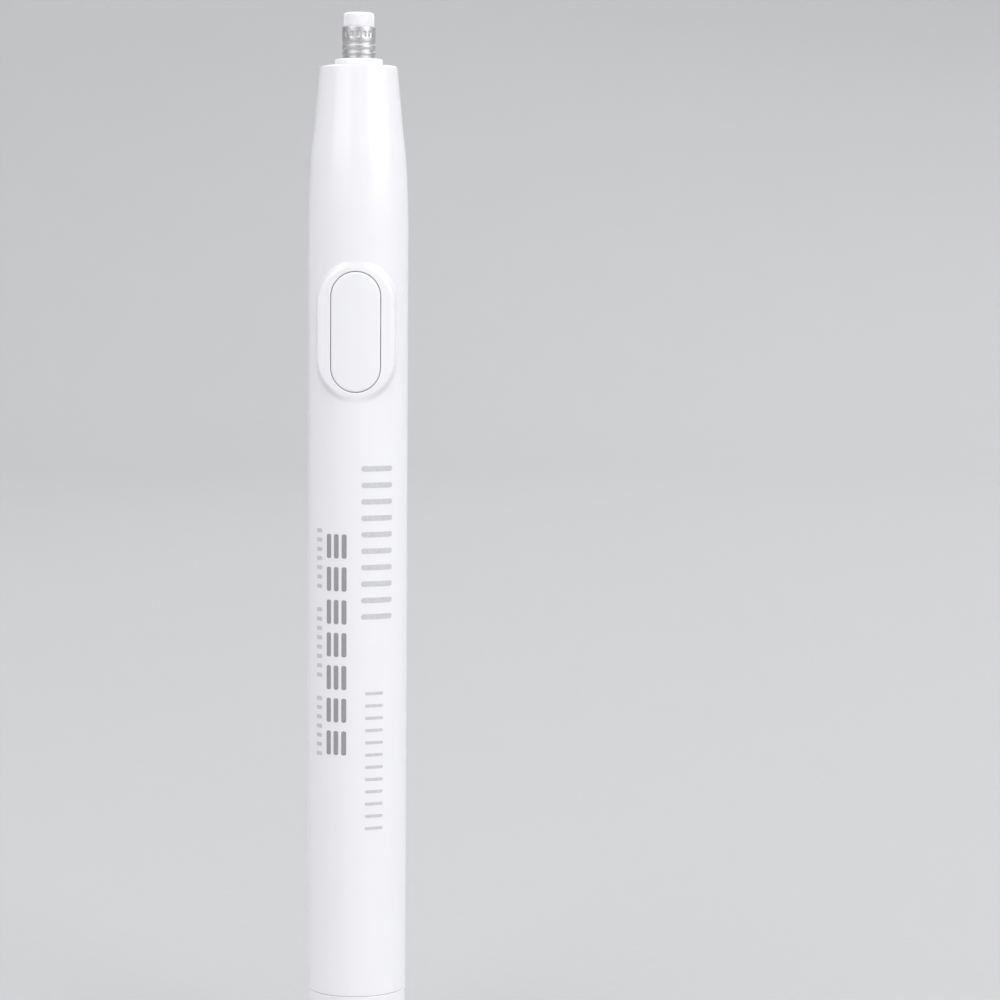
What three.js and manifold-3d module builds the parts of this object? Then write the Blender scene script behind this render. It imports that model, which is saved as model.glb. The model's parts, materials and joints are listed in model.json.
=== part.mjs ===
// Battery-driven electric eraser, standing on the flat end of its battery cap.
// Millimetres, +Z along the pen's axis towards the eraser, the push button faces -Y,
// origin at the centre of the cap's flat end.

import * as THREE from 'three';
import { mergeVertices } from 'three/addons/utils/BufferGeometryUtils.js';
import Module from 'manifold-3d';

const wasm = await Module();
wasm.setup();

// ---------------------------------------------------------------- driving dimensions

const GAP = 0.3; // between still pieces that rest on each other
const FIT = 0.1; // radial, between round pieces that share one axis
const ROUND = 48; // sides of the large turned pieces
const FINE = 32; // sides of the small turned pieces

const SEAM_Z = 13.5; // joint between cap and barrel
const RIM_Z = 159.2; // top of the barrel's nose
const COLLAR_TOP_Z = 160.3;
const FERRULE_TOP_Z = 165.3;
const TIP_Z = 167.5;

const BARREL_R = 7.85;
const SEAM_R = 7.82;
const RIM_R = 6.05;
const BORE_R = 6.4;
const SOCKET_R = 6.75; // wider mouth of the bore that takes the cap's neck
const SOCKET_TOP_Z = 21.9;

const FOOT_R = 5.9; // flat part of the cap's end
const CAP_FLOOR = 1.7;
const NECK_R = 6.45;
const NECK_BORE_R = 5.65;
const NECK_TOP_Z = 21.3;

const BUTTON_Z = 118; // centre of the button and of its pad
const BUTTON = { width: 7.7, height: 18.6 };
const BUTTON_SLACK = 0.15; // between the button and its opening
const PAD = { width: 12.1, height: 21.2, face: 8.1, crownR: 20 };

const CELL = { r: 5.25, length: 43.7, nubR: 1.9, nub: 0.8 }; // AAA
const CELL_Z = [7.3, 52.1]; // lower ends of the two cells

const FRAME_R = 6.1;
const BULKHEAD_Z = 97.8;
const TRAY_Y = 2.4;
const TRAY_TOP_Z = 121;
const STRIP = { inner: 5.6, outer: 5.9, width: 3.4, z0: 23.3, z1: 120 }; // cap plate to motor
const LEAF = { width: 3.4, foot: 100.8, bend: 104.2, contact: 118, end: 119.6 };

const MOTOR = { r: 6, half: 5, bell: 124.5, can: 127, front: 139.5, wall: 0.45 };
const SHAFT_R = 0.75;
const SHAFT_TOP_Z = 143.7;

const HUB_Z = 141;
const HUB_R = 3.3;
const COLLAR_R = 3.75;
const COLLAR_Z = RIM_Z - 1.2;
const HUB_BORE_Z = 144.3;
const BUSH_R = 4.7;
const BUSH_Z = 150.3;
const BUSH_TOP_Z = RIM_Z - 1.9;
const FERRULE_R = 2.6;
const FERRULE_BORE_R = 2.46;
const REFILL_R = 2.4;
const REFILL_LENGTH = 23;

// ---------------------------------------------------------------- solids

function toSolid(geometry) {
  const bare = geometry.clone();
  bare.deleteAttribute('normal');
  bare.deleteAttribute('uv');
  const merged = mergeVertices(bare, 1e-4);
  return new wasm.Manifold(new wasm.Mesh({
    numProp: 3,
    vertProperties: new Float32Array(merged.attributes.position.array),
    triVerts: new Uint32Array(merged.index.array),
  }));
}

function toGeometry(solid) {
  const mesh = solid.getMesh();
  const geometry = new THREE.BufferGeometry();
  geometry.setAttribute('position', new THREE.BufferAttribute(new Float32Array(mesh.vertProperties), 3));
  geometry.setIndex(new THREE.BufferAttribute(new Uint32Array(mesh.triVerts), 1));
  geometry.computeVertexNormals();
  return geometry;
}

const join = (...geometries) => toGeometry(
  geometries.map(toSolid).reduce((whole, piece) => whole.add(piece)));

const cut = (body, ...tools) => toGeometry(
  tools.map(toSolid).reduce((whole, tool) => whole.subtract(tool), toSolid(body)));

const common = (a, b) => toGeometry(toSolid(a).intersect(toSolid(b)));

// A body of revolution about Z from [radius, z] points; the profile is closed on itself.
function turned(profile, sides = ROUND) {
  const points = profile.map(([r, z]) => new THREE.Vector2(r, z));
  const onAxis = profile[0][0] === 0 && profile.at(-1)[0] === 0;
  if (!onAxis) points.push(points[0].clone());
  return new THREE.LatheGeometry(points, sides).rotateX(Math.PI / 2);
}

const rod = (r, z0, z1, sides = FINE) => turned([[0, z0], [r, z0], [r, z1], [0, z1]], sides);

const pipe = (inner, outer, z0, z1, sides = FINE) => turned(
  [[inner, z0], [outer, z0], [outer, z1], [inner, z1]], sides);

// A box from its lowest and highest corners.
function block(low, high) {
  const size = high.map((v, i) => v - low[i]);
  const middle = high.map((v, i) => (v + low[i]) / 2);
  return new THREE.BoxGeometry(...size).translate(...middle);
}

// A closed outline in X and Y, raised from z0 to z1.
function raised(shape, z0, z1, curveSegments = 12) {
  return new THREE.ExtrudeGeometry(shape, { depth: z1 - z0, bevelEnabled: false, curveSegments })
    .translate(0, 0, z0);
}

function outline(points) {
  return new THREE.Shape(points.map(([x, y]) => new THREE.Vector2(x, y)));
}

// A profile of [y, z] points given a width along X, centred on the axis.
function stamped(points, width) {
  return new THREE.ExtrudeGeometry(outline(points), { depth: width, bevelEnabled: false })
    .rotateY(Math.PI / 2)
    .rotateX(Math.PI / 2)
    .translate(-width / 2, 0, 0);
}

// A stadium in X and Z round the button's centre, running in Y from y0 to y1.
function stadium(width, height, y0, y1, curveSegments = 12) {
  const r = width / 2;
  const straight = height / 2 - r;
  const shape = new THREE.Shape();
  shape.absarc(0, straight, r, 0, Math.PI, false);
  shape.absarc(0, -straight, r, Math.PI, 2 * Math.PI, false);
  return new THREE.ExtrudeGeometry(shape, { depth: y1 - y0, bevelEnabled: false, curveSegments })
    .rotateX(Math.PI / 2)
    .translate(0, y1, BUTTON_Z);
}

// A tube of round section along a smooth curve through the points.
function wire(points, r, steps, sides = 8) {
  const section = new THREE.Shape().absarc(0, 0, r, 0, 2 * Math.PI, false);
  const path = new THREE.CatmullRomCurve3(points.map((p) => new THREE.Vector3(...p)));
  return new THREE.ExtrudeGeometry(section, { extrudePath: path, steps, curveSegments: sides / 2 });
}

// ---------------------------------------------------------------- materials

const finish = (color, roughness, metalness = 0) => ({ color, roughness, metalness });

const WHITE_ABS = finish(0xf4f4f6, 0.22);
const BUTTON_ABS = finish(0xeeeef0, 0.28);
const ACETAL = finish(0xf6f4ee, 0.35);
const FRAME_ABS = finish(0xd9dadc, 0.5);
const NYLON = finish(0x26282b, 0.5);
const NICKEL = finish(0xc9cacb, 0.18, 1);
const STEEL = finish(0xa9acae, 0.3, 1);
const SPRING_STEEL = finish(0x9a9c9e, 0.25, 1);
const BRASS = finish(0xc9a04e, 0.3, 1);
const BRONZE = finish(0xa9713f, 0.4, 1);
const COPPER = finish(0xb66a38, 0.35, 1);
const FERRITE = finish(0x2c2c2f, 0.7);
const CELL_WRAP = finish(0x35506b, 0.3, 0.4);
const RUBBER = finish(0xf3f0f4, 0.75);
const RED_PVC = finish(0xb3241f, 0.4);
const BLACK_PVC = finish(0x1b1b1c, 0.4);

const eraser = new THREE.Group();

function add(group, name, geometry, look) {
  const mesh = new THREE.Mesh(geometry, new THREE.MeshStandardMaterial(look));
  mesh.name = name;
  group.add(mesh);
}

// ---------------------------------------------------------------- battery cap

function rearCap() {
  const shell = turned([
    [0, 0], [FOOT_R, 0], [6.7, 0.2], [7.35, 0.7], [7.65, 1.4], [7.74, 2.3],
    [SEAM_R, SEAM_Z - 0.1], [NECK_R, SEAM_Z - 0.1],
    [NECK_R, 17.2], [NECK_R + FIT, 17.6], [NECK_R + FIT, 18.4], [NECK_R, 18.8],
    [NECK_R, NECK_TOP_Z - 0.5], [NECK_R - 0.4, NECK_TOP_Z], [NECK_BORE_R, NECK_TOP_Z],
    [NECK_BORE_R, SEAM_Z - 1], [6.25, SEAM_Z - 1.6], [6.25, CAP_FLOOR], [0, CAP_FLOOR],
  ]);
  const fingerSlot = block([-1.8, 5, SEAM_Z - 2.2], [1.8, 6.15, NECK_TOP_Z + 1]);
  return cut(shell, fingerSlot);
}

function capContactPlate() {
  const z = CAP_FLOOR + GAP;
  const disc = rod(4.9, z, z + 0.3);
  const top = STRIP.z0 - GAP;
  const finger = stamped([
    [4.5, z], [5.85, z], [5.85, top], [5.55, top], [5.55, z + 0.3], [4.5, z + 0.3],
  ], 3);
  return join(disc, finger);
}

// Conical spring: base coil on the plate, narrow coil under the cell.
function capSpring() {
  const turns = 3.5;
  const [bottom, top] = [2.9, CELL_Z[0] - 0.6];
  const [wide, narrow] = [4.1, 2.4];
  const count = 28;
  const points = Array.from({ length: count + 1 }, (_, i) => {
    const t = i / count;
    const r = wide + (narrow - wide) * t;
    const angle = 2 * Math.PI * turns * t;
    return [r * Math.cos(angle), r * Math.sin(angle), bottom + (top - bottom) * t];
  });
  return wire(points, 0.28, 84, 6);
}

const cap = new THREE.Group();
add(cap, 'rear_cap', rearCap(), WHITE_ABS);
add(cap, 'cap_contact_plate', capContactPlate(), NICKEL);
add(cap, 'cap_spring', capSpring(), SPRING_STEEL);
eraser.add(cap);

// ---------------------------------------------------------------- barrel

function barrelShell() {
  const skin = turned([
    [SEAM_R, SEAM_Z + 0.1], [BARREL_R, 96], [BARREL_R, 134.5],
    [7.76, 138.5], [7.62, 141.6], [7.45, 144.8], [7.25, 146.9], [6.97, 149.4],
    [6.73, 151.9], [6.49, 154.4], [6.25, 156.7], [RIM_R + 0.02, 158.6], [RIM_R - 0.35, RIM_Z],
    [COLLAR_R + 0.2, RIM_Z], [COLLAR_R + 0.2, BUSH_TOP_Z + 0.3], [BUSH_R + 0.25, BUSH_TOP_Z + 0.3],
    [BUSH_R + 0.25, BUSH_Z - 0.4], [BORE_R, 142.6], [BORE_R, SOCKET_TOP_Z + 0.3],
    [SOCKET_R, SOCKET_TOP_Z], [SOCKET_R, SEAM_Z + 0.1],
  ]);
  const crown = rod(PAD.crownR, BUTTON_Z - PAD.height, BUTTON_Z + PAD.height, 96)
    .translate(0, PAD.crownR - PAD.face, 0);
  const pad = common(stadium(PAD.width, PAD.height, -PAD.face - 1, -3.5), crown);
  const bore = rod(BORE_R, BUTTON_Z - PAD.height / 2 - 1, BUTTON_Z + PAD.height / 2 + 1, ROUND);
  const opening = stadium(
    BUTTON.width + 2 * BUTTON_SLACK, BUTTON.height + 2 * BUTTON_SLACK, -PAD.face - 1, 0);
  return cut(join(skin, cut(pad, bore)), opening);
}

// Stadium cap with a crowned face, two side skirts with hooks, and a plunger.
function pushButton() {
  const under = -6.3;
  const crown = rod(PAD.crownR, BUTTON_Z - BUTTON.height, BUTTON_Z + BUTTON.height, 96)
    .translate(0, PAD.crownR - PAD.face + 0.05, 0);
  const face = common(stadium(BUTTON.width, BUTTON.height, -PAD.face - 1, under), crown);
  const reach = (BUTTON.height - BUTTON.width) / 2 - 1;
  const skirts = [-1, 1].map((side) => {
    const shape = outline([
      [side * 2.9, under - 0.5], [side * 3.8, under - 0.5], [side * 3.8, -4],
      [side * 4.7, -4], [side * 4.7, -3.4], [side * 3.6, -3.1], [side * 2.9, -3.1],
    ]);
    return raised(shape, BUTTON_Z - reach, BUTTON_Z + reach);
  });
  const plunger = rod(1.3, 0, 1.75, 24)
    .rotateX(-Math.PI / 2)
    .translate(0, under - 0.2, BUTTON_Z - 1.6);
  return join(face, ...skirts, plunger);
}

function frontBush() {
  const inner = HUB_R + FIT;
  return turned([
    [inner, BUSH_Z], [BUSH_R - 0.2, BUSH_Z], [BUSH_R, BUSH_Z + 0.2],
    [BUSH_R, BUSH_TOP_Z - 0.2], [BUSH_R - 0.2, BUSH_TOP_Z], [inner, BUSH_TOP_Z],
  ]);
}

// Chord-shaped tray behind the switch, a bulkhead over the cells, and a finger behind the motor.
function innerFrame() {
  const r = FRAME_R;
  const chord = (y, z0, z1) => common(rod(r, z0, z1, ROUND), block([-r, y, z0], [r, r + 1, z1]));
  const bulkhead = rod(r, BULKHEAD_Z, BULKHEAD_Z + 1.6, ROUND);
  const tray = chord(TRAY_Y, BULKHEAD_Z, TRAY_TOP_Z);
  const leafPost = block([-2.2, -3.15, BULKHEAD_Z], [2.2, TRAY_Y + 0.2, LEAF.bend + 0.2]);
  const contactPost = block([-1.9, -2.3, LEAF.contact - 1.4], [1.9, TRAY_Y + 0.2, LEAF.end + 1]);
  const motorFinger = chord(STRIP.inner - GAP, TRAY_TOP_Z - 1, MOTOR.front - 0.5);
  const whole = join(bulkhead, tray, leafPost, contactPost, motorFinger);
  const stripChannel = block(
    [-2.1, STRIP.inner - GAP, BULKHEAD_Z - 1], [2.1, r + 1, TRAY_TOP_Z + 2]);
  const tailHole = block([-1.3, -4.9, BULKHEAD_Z - 1], [1.3, -3.1, BULKHEAD_Z + 3]);
  const lightening = block([-3.2, 2, 106], [3.2, 4.6, 115]);
  return cut(whole, stripChannel, tailHole, lightening);
}

// Dished disc on the bulkhead with a tail that reaches the foot of the switch leaf.
function frontContact() {
  const z = BULKHEAD_Z - GAP;
  const dish = turned([
    [0, z - 0.5], [1.6, z - 0.5], [2.2, z - 0.3], [4.6, z - 0.3], [4.6, z], [2.1, z], [1.5, z - 0.2],
    [0, z - 0.2],
  ]);
  const top = LEAF.foot - 0.5;
  const tail = stamped([
    [-4.5, z - 0.3], [-4, z - 0.3], [-4, top], [-4.3, top], [-4.3, z], [-4.5, z],
  ], 2);
  return join(dish, tail);
}

function returnStrip() {
  const { inner, outer, width, z0, z1 } = STRIP;
  return stamped([[inner, z0], [outer, z0], [outer, z1], [inner, z1]], width);
}

function cell(z) {
  const { r, length, nubR, nub } = CELL;
  const top = z + length;
  return turned([
    [0, z + 0.15], [3.4, z + 0.15], [3.6, z], [r - 0.4, z], [r, z + 0.4],
    [r, top - 2.2], [r - 0.15, top - 1.9], [r, top - 1.6], [r, top - 0.5], [r - 0.5, top],
    [nubR + 0.15, top], [nubR, top + 0.1], [nubR, top + nub - 0.2], [nubR - 0.2, top + nub],
    [0, top + nub],
  ], FINE);
}

const barrel = new THREE.Group();
add(barrel, 'barrel_shell', barrelShell(), WHITE_ABS);
add(barrel, 'front_bush', frontBush(), BRONZE);
add(barrel, 'inner_frame', innerFrame(), FRAME_ABS);
add(barrel, 'front_contact', frontContact(), NICKEL);
add(barrel, 'return_strip', returnStrip(), NICKEL);
add(barrel, 'battery_rear', cell(CELL_Z[0]), CELL_WRAP);
add(barrel, 'battery_front', cell(CELL_Z[1]), CELL_WRAP);
eraser.add(barrel);

// ---------------------------------------------------------------- switch and wiring

// Springy strip, clamped at its foot and bowed towards the button at its free end.
function switchLeaf() {
  const { width, foot, bend, contact, end } = LEAF;
  return stamped([
    [-3.45, foot], [-3.45, bend], [-4.2, contact - 2.4],
    [-4.1, contact], [-3.88, contact + 0.4], [-4.1, contact + 0.8],
    [-4.25, end], [-4.5, end], [-4.45, contact - 2.4], [-3.7, bend], [-3.7, foot],
  ], width);
}

function switchFixedContact() {
  const low = LEAF.contact - 1;
  return stamped([
    [-2.9, low], [-2.6, low], [-2.6, TRAY_TOP_Z - 0.1], [-0.8, TRAY_TOP_Z + 0.1],
    [-0.8, TRAY_TOP_Z + 0.4], [-2.9, TRAY_TOP_Z + 0.2],
  ], 2.6);
}

const switchGear = new THREE.Group();
add(switchGear, 'button', pushButton(), BUTTON_ABS);
add(switchGear, 'switch_leaf', switchLeaf(), BRASS);
add(switchGear, 'switch_fixed_contact', switchFixedContact(), BRASS);
add(switchGear, 'wire_red', wire([
  [1.7, -1.3, 121.9], [2.3, -1.5, 122.3], [3, -1.3, 122.6], [3.6, -0.9, 122.8],
], 0.35, 12), RED_PVC);
add(switchGear, 'wire_black', wire([
  [0, 5.75, 120.4], [0, 5.7, 121.3], [-0.7, 5, 122], [-2.4, 3, 122.5], [-3.5, 0.8, 122.9],
], 0.35, 16), BLACK_PVC);
eraser.add(switchGear);

// ---------------------------------------------------------------- motor, fixed half

// Round section with two flats, facing the button and the back.
function doubleD(r, half, z0, z1) {
  return common(rod(r, z0, z1, ROUND), block([-r, -half, z0], [r, half, z1]));
}

function motorCan() {
  const { r, half, can, front, wall } = MOTOR;
  const cup = cut(doubleD(r, half, can, front), doubleD(r - wall, half - wall, can - 1, front - wall));
  const neck = pipe(1.8, 2.4, front - wall, front + 0.8);
  return cut(join(cup, neck), rod(1.8, front - 2, front + 2));
}

function motorEndBell() {
  const { r, half, bell, can } = MOTOR;
  const top = can - GAP;
  const cup = cut(doubleD(r, half, bell, top), doubleD(r - 0.9, half - 0.9, bell + 0.9, can));
  const boss = rod(2.7, bell - 0.6, bell + 0.9);
  const slots = [-1, 1].map((side) => block(
    [side * 3.6 - 1.1, -0.45, bell - 1], [side * 3.6 + 1.1, 0.45, bell + 2]));
  return cut(join(cup, boss), rod(1.8, bell - 1, bell + 2), ...slots);
}

// Stamped tab with a sideways tongue that carries the brush.
function terminal(side) {
  const points = [
    [4.3, 122.6], [4.3, 127.2], [2.2, 127.2], [2.2, 126.2], [2.9, 126.2], [2.9, 122.6],
  ];
  const shape = outline(points.map(([x, z]) => [side * x, z]));
  return new THREE.ExtrudeGeometry(shape, { depth: 0.3, bevelEnabled: false })
    .rotateX(Math.PI / 2)
    .translate(0, 0.15, 0);
}

function brush(side) {
  const [inner, outer] = [1.45, 2.05];
  const [low, high] = side > 0 ? [inner, outer] : [-outer, -inner];
  return block([low, -0.6, 126.1], [high, 0.6, 127.3]);
}

function magnet(side) {
  const { r, wall, can, front } = MOTOR;
  const [outer, inner] = [r - wall - FIT, 4.2];
  const spread = THREE.MathUtils.degToRad(37);
  const middle = side > 0 ? 0 : Math.PI;
  const shape = new THREE.Shape();
  shape.absarc(0, 0, outer, middle - spread, middle + spread, false);
  shape.absarc(0, 0, inner, middle + spread, middle - spread, true);
  return raised(shape, can + 0.8, front - 1.3, 8);
}

const motor = new THREE.Group();
add(motor, 'motor_can', motorCan(), STEEL);
add(motor, 'motor_end_bell', motorEndBell(), NYLON);
add(motor, 'motor_front_bearing', pipe(SHAFT_R + FIT, 1.7, 139.2, 140.2), BRONZE);
add(motor, 'motor_rear_bearing', pipe(SHAFT_R + FIT, 1.7, 124, 125.2), BRONZE);
for (const [name, side] of [['positive', 1], ['negative', -1]]) {
  add(motor, `terminal_${name}`, terminal(side), BRASS);
  add(motor, `brush_${name}`, brush(side), FERRITE);
}
add(motor, 'magnet_right', magnet(1), FERRITE);
add(motor, 'magnet_left', magnet(-1), FERRITE);
eraser.add(motor);

// ---------------------------------------------------------------- rotor

const POLES = [0, 1, 2].map((k) => (k * 2 * Math.PI) / 3);
const CORE = { hub: 1.5, neck: 0.7, shoeInner: 3.1, shoeOuter: 3.95, z0: 129, z1: 136.5 };

// Three T-shaped poles round a hub.
function rotorCore() {
  const { hub, neck, shoeInner, shoeOuter, z0, z1 } = CORE;
  const spread = THREE.MathUtils.degToRad(47);
  const poles = POLES.map((angle) => {
    const arm = block([0.5, -neck, z0], [shoeInner + 0.3, neck, z1]);
    const shoe = new THREE.Shape();
    shoe.absarc(0, 0, shoeOuter, -spread, spread, false);
    shoe.absarc(0, 0, shoeInner, spread, -spread, true);
    return join(arm, raised(shoe, z0, z1, 8)).rotateZ(angle);
  });
  return cut(join(rod(hub, z0, z1), ...poles), rod(SHAFT_R + FIT, z0 - 1, z1 + 1));
}

// Rectangular coil round the neck of one pole.
function winding(angle) {
  const { neck, z0, z1 } = CORE;
  const outer = block([1.75, -1.4, z0 - 0.85], [2.6, 1.4, z1 + 0.85]);
  const inner = block([1, -neck - 0.12, z0 - 0.15], [3, neck + 0.12, z1 + 0.15]);
  return cut(outer, inner).rotateZ(angle);
}

function commutator() {
  const [low, high] = [125.8, 128];
  const drum = pipe(SHAFT_R + FIT, 1.3, low, high);
  const slits = POLES.map((angle) => block([1.05, -0.08, low + 0.4], [2, 0.08, high + 1])
    .rotateZ(angle + Math.PI / 3));
  return cut(drum, ...slits);
}

function spindleHub() {
  return turned([
    [SHAFT_R + FIT, HUB_Z], [HUB_R - 0.4, HUB_Z], [HUB_R, HUB_Z + 0.4], [HUB_R, COLLAR_Z - 0.2],
    [COLLAR_R, COLLAR_Z], [COLLAR_R, COLLAR_TOP_Z - 0.15], [COLLAR_R - 0.15, COLLAR_TOP_Z],
    [FERRULE_R + FIT, COLLAR_TOP_Z], [FERRULE_R + FIT, HUB_BORE_Z],
    [SHAFT_R + FIT, HUB_BORE_Z],
  ]);
}

// Thin sleeve with a rolled lip, a rolled bead half-way and a groove at each side of it.
function ferrule() {
  const r = FERRULE_R;
  const groove = r - 0.08;
  const top = FERRULE_TOP_Z;
  return turned([
    [FERRULE_BORE_R, HUB_BORE_Z + 0.15], [r, HUB_BORE_Z + 0.15], [r, top - 4.7],
    [groove, top - 4.5], [groove, top - 4.3], [r, top - 4.1], [r, top - 3], [groove, top - 2.85],
    [r, top - 2.7], [r, top - 2.1], [groove, top - 1.95], [r, top - 1.8], [r, top - 0.4],
    [r - 0.05, top], [FERRULE_BORE_R, top],
  ]);
}

function refill() {
  const z = TIP_Z - REFILL_LENGTH;
  const r = REFILL_R;
  return turned([
    [0, z], [r - 0.1, z], [r, z + 0.1], [r, TIP_Z - 0.45], [r - 0.12, TIP_Z - 0.15],
    [r - 0.45, TIP_Z], [0, TIP_Z],
  ]);
}

const rotor = new THREE.Group();
add(rotor, 'motor_shaft', rod(SHAFT_R, 124.1, SHAFT_TOP_Z), STEEL);
add(rotor, 'rotor_core', rotorCore(), STEEL);
POLES.forEach((angle, k) => add(rotor, `winding_${k + 1}`, winding(angle), COPPER));
add(rotor, 'commutator', commutator(), COPPER);
add(rotor, 'spindle_hub', spindleHub(), ACETAL);
add(rotor, 'ferrule', ferrule(), NICKEL);
add(rotor, 'eraser_refill', refill(), RUBBER);
eraser.add(rotor);

export default eraser;
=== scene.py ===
"""Looks of the pen-shaped electric eraser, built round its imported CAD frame.

Shapes are worked out in millimetres, in the frame's own axes, and scaled to metres when a mesh is made.
The pen stands on its battery cap: +Z runs along its axis to the eraser, and the button faces -Y.
"""

import json
import math
from collections import namedtuple

import bmesh
import bpy
from mathutils import Matrix, Vector, noise


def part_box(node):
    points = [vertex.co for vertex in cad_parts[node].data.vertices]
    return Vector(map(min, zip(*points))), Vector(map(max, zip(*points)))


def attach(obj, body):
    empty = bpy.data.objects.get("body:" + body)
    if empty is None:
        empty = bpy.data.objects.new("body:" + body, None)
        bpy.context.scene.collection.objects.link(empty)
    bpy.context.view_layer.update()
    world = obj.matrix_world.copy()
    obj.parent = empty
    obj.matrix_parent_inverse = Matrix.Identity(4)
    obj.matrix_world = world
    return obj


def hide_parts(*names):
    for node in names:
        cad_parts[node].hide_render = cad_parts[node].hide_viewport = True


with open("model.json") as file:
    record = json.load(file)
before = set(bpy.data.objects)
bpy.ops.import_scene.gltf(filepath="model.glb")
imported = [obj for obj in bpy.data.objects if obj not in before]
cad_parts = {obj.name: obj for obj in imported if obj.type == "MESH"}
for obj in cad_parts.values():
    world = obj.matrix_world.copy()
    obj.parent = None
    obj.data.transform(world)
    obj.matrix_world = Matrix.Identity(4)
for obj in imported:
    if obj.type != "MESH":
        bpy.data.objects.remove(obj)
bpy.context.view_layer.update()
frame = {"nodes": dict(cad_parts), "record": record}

MM = 0.001


def node_box(node):
    """Lowest and highest corner of a CAD node, in millimetres."""
    low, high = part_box(node)
    return low / MM, high / MM


# ------------------------------------------------------------------ sizes, in mm, from the frame

BARREL_LOW, BARREL_HIGH = node_box("barrel_shell")
CAP_HIGH = node_box("rear_cap")[1]
BUTTON_LOW, BUTTON_HIGH = node_box("button")
COLLAR_LOW, COLLAR_HIGH = node_box("spindle_hub")
FERRULE_LOW, FERRULE_HIGH = node_box("ferrule")
REFILL_LOW, REFILL_HIGH = node_box("eraser_refill")
BUSH_LOW, BUSH_HIGH = node_box("front_bush")
SPRING_LOW, SPRING_HIGH = node_box("cap_spring")

BARREL_R = BARREL_HIGH.x
SEAM_R = CAP_HIGH.x
SEAM_Z = BARREL_LOW.z
RIM_Z = BARREL_HIGH.z
PAD_FACE = -BARREL_LOW.y
BUTTON_Z = (BUTTON_LOW.z + BUTTON_HIGH.z) / 2
BUTTON_HALF_H = (BUTTON_HIGH.z - BUTTON_LOW.z) / 2
BUTTON_HALF_W = 3.85
BUTTON_FACE = -BUTTON_LOW.y
COLLAR_R = COLLAR_HIGH.x
FERRULE_R = FERRULE_HIGH.x
REFILL_R = REFILL_HIGH.x

RIM_R = 6.05
MOUTH_R = 4.9  # inner edge of the nose's flat rim
SEAM_IN = SEAM_R - 0.5  # inner edge of the flat face at the seam
HUB_R = 3.3
HUB_FLANGE_Z = RIM_Z - 1.2
SPINDLE_R = 0.85  # the chuck's hole for the motor shaft
BORE_R = 6.4
BORE_TOP = 142.6  # above it the bore narrows to the bush's seat
SEAT_R = 4.95
SOCKET_R = 6.75
SOCKET_TOP = 21.9
CROWN_R = 20.0  # radius across the pad and the button
PAD_FOOT = (6.36, 11.3)  # half width and half height where the pad's flank leaves the barrel
PAD_TOP = (5.82, 9.8)  # and where it reaches the face
PAD_FALL = 0.12  # how far the pad's face falls back at its ends
PAD_FALL_FROM = 4.5  # height above and below its middle at which it starts to fall
LIP_R = 0.14  # round of the edge of the button's opening
HOLE = (BUTTON_HALF_W + 0.07, BUTTON_HALF_H + 0.08)


# ------------------------------------------------------------------ mesh helpers

def arc_corner(before, corner, after, radius, steps=6):
    """The points of a round of that radius in the corner of a 2-D path."""
    a = (before - corner).normalized()
    b = (after - corner).normalized()
    half = a.angle(b) / 2
    if radius <= 0 or half > math.radians(89):
        return [corner]
    reach = radius / math.tan(half)
    centre = corner + (a + b).normalized() * (radius / math.sin(half))
    start = corner + a * reach - centre
    end = corner + b * reach - centre
    points = []
    for k in range(steps + 1):
        t = k / steps
        direction = (start * (1 - t) + end * t).normalized()
        points.append(centre + direction * radius)
    return points


def rounded(path, closed=False, steps=6):
    """A 2-D path of (r, z) or (r, z, round) points, with its corners rounded."""
    points = [Vector(p[:2]) for p in path]
    radii = [p[2] if len(p) > 2 else 0 for p in path]
    count = len(points)
    result = []
    for i in range(count):
        ends = i in (0, count - 1)
        if radii[i] == 0 or (ends and not closed):
            result.append(points[i])
            continue
        result += arc_corner(points[i - 1], points[i], points[(i + 1) % count], radii[i], steps)
    return [(p.x, p.y) for p in result]


def smooth_curve(knots, steps):
    """A Catmull-Rom curve through (r, z) knots."""
    padded = [knots[0]] + list(knots) + [knots[-1]]
    points = []
    for i in range(1, len(padded) - 2):
        p0, p1, p2, p3 = (Vector(p) for p in padded[i - 1:i + 3])
        for k in range(steps):
            t = k / steps
            point = 0.5 * (
                2 * p1
                + (p2 - p0) * t
                + (2 * p0 - 5 * p1 + 4 * p2 - p3) * t ** 2
                + (3 * p1 - p0 - 3 * p2 + p3) * t ** 3
            )
            points.append((point.x, point.y))
    points.append(tuple(knots[-1]))
    return points


def spread(low, high, step):
    """Values from low to high, about a step apart."""
    count = max(1, round((high - low) / step))
    return [low + (high - low) * k / count for k in range(count + 1)]


def around(r, angle, z):
    """The point at radius r and height z, turned by angle from -Y towards +X."""
    return (r * math.sin(angle), -r * math.cos(angle), z)


def mesh_object(name, vertices, faces, sharp_deg=35):
    """A mesh object from points in millimetres, smooth but for edges sharper than sharp_deg."""
    mesh = bpy.data.meshes.new(name)
    mesh.from_pydata([Vector(v) * MM for v in vertices], [], faces)
    obj = bpy.data.objects.new(name, mesh)
    bpy.context.scene.collection.objects.link(obj)
    bm = bmesh.new()
    bm.from_mesh(mesh)
    bmesh.ops.remove_doubles(bm, verts=bm.verts, dist=1e-8)
    bmesh.ops.recalc_face_normals(bm, faces=bm.faces)
    limit = math.radians(sharp_deg)
    for edge in bm.edges:
        edge.smooth = edge.calc_face_angle(0) < limit
    for face in bm.faces:
        face.smooth = True
    bm.to_mesh(mesh)
    bm.free()
    normals = obj.modifiers.new("even_normals", "WEIGHTED_NORMAL")
    normals.keep_sharp = True
    return obj


def on_axis(r):
    """Whether a profile's point lies on the axis it turns about."""
    return abs(r) < 1e-9


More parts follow.
